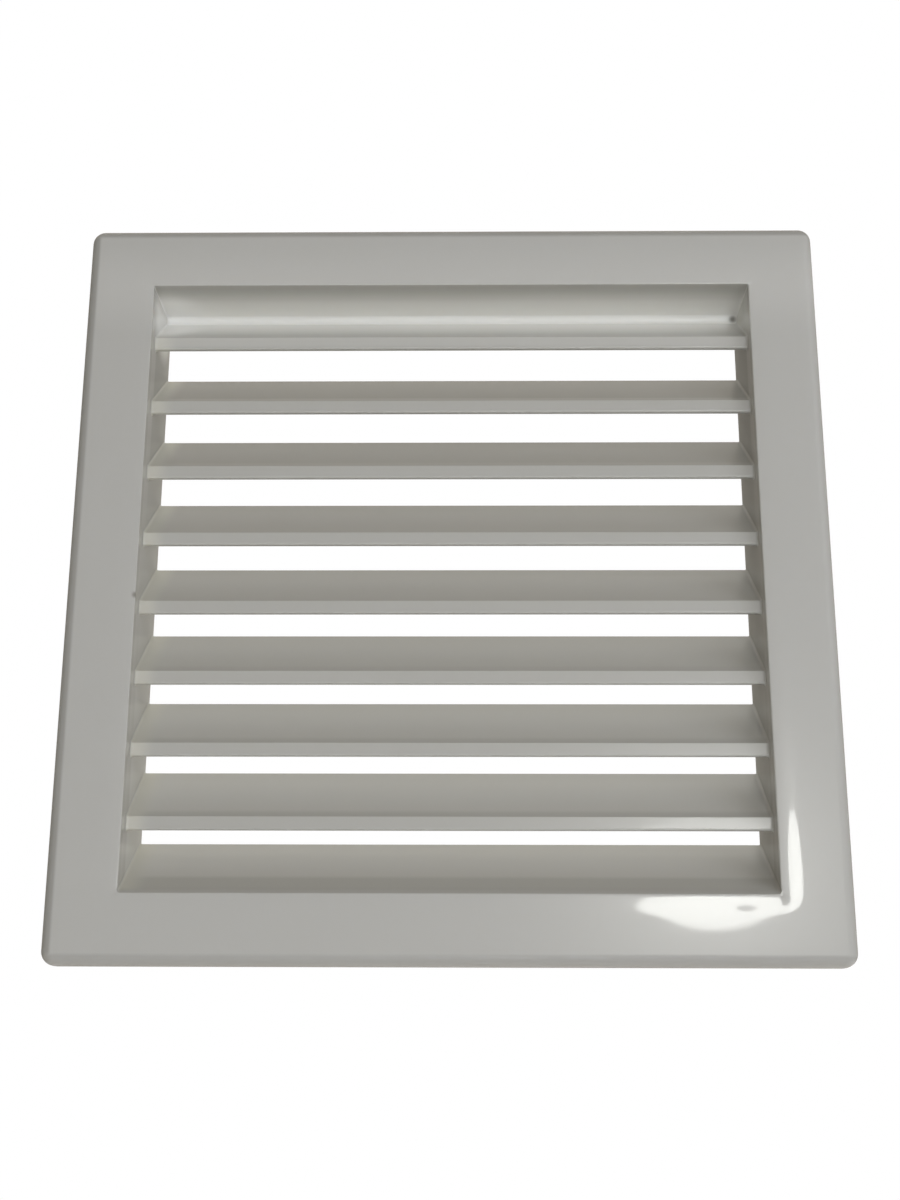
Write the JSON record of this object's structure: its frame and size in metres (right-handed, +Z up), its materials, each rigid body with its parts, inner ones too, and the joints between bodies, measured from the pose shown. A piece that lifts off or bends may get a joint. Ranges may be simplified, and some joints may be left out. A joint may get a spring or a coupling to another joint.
{
  "type": "ventilation grille",
  "caption": "Square white plastic wall grille: flat frame with rounded edges, slanted fixed rain louvres and a square collar behind.",
  "frame": {"origin": "centre of the grille in the wall plane, where the back of the rim seats on the wall", "axes": "+X across the width, +Y into the wall, so that the louvres face -Y, +Z up"},
  "size_m": [0.2, 0.0256, 0.2],
  "materials": {
    "moulded_plastic": "glossy moulded white plastic"
  },
  "bodies": {
    "root": {"grille": "moulded_plastic"}
  },
  "joints": []
}
